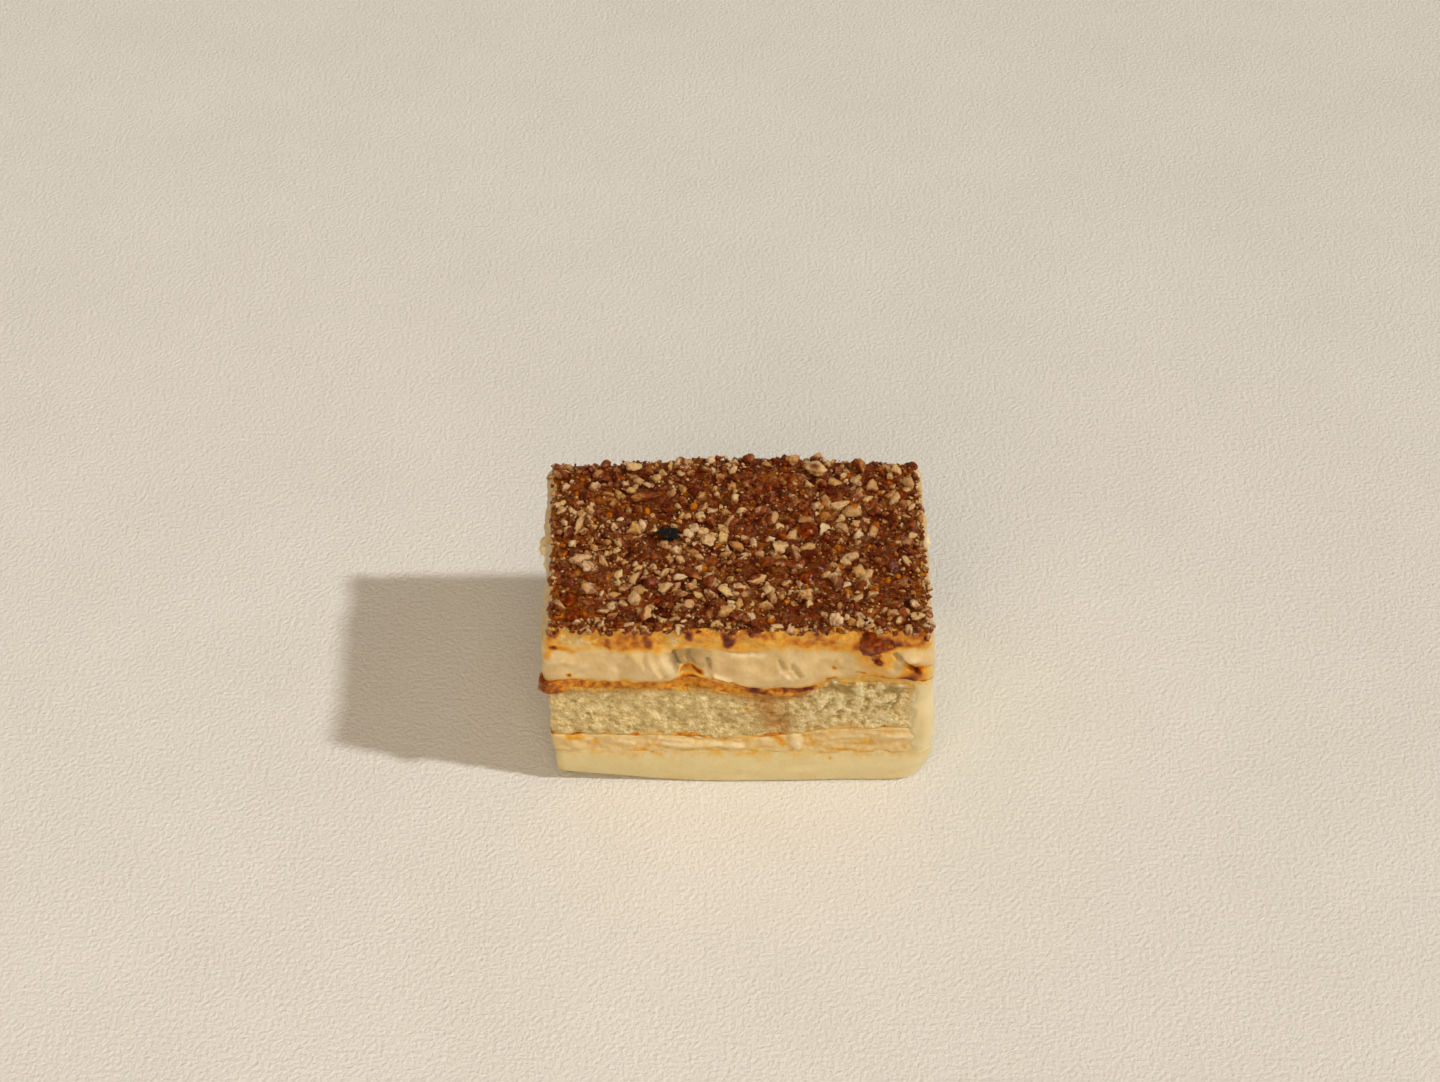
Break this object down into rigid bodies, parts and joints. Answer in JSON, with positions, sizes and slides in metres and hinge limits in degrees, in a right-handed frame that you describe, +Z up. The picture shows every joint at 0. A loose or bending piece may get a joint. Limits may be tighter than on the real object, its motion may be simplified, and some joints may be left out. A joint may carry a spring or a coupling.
{
  "type": "slice of pecan tiramisu",
  "caption": "Rectangular cut slice of layered cream and sponge dessert, topped with chopped pecans in glossy caramel.",
  "frame": {"origin": "centre of the foot, on the plane that the slice stands on", "axes": "+X along the slice's longer side, to the right as the front cut is seen; +Y from the front cut to the back; +Z up"},
  "size_m": [0.0787, 0.0528, 0.0452],
  "materials": {
    "base_custard": "smooth, slightly moist pale yellow custard",
    "lower_cream": "moist cream streaked with caramel",
    "lower_caramel": "thin soaked caramel line",
    "sponge": "open dry crumb",
    "caramel": "sticky amber caramel",
    "cream": "soft satin cream with caramel stains near its top",
    "side_cream": "smooth satin cream",
    "pecan_praline": "chopped pecans under glossy caramel"
  },
  "bodies": {
    "root": {"base_layer": "base_custard", "lower_cream": "lower_cream", "lower_caramel_line": "lower_caramel", "sponge_layer": "sponge", "caramel_seam": "caramel", "top_cream": "cream", "side_coat": "side_cream", "pecan_topping": "pecan_praline"}
  },
  "joints": []
}
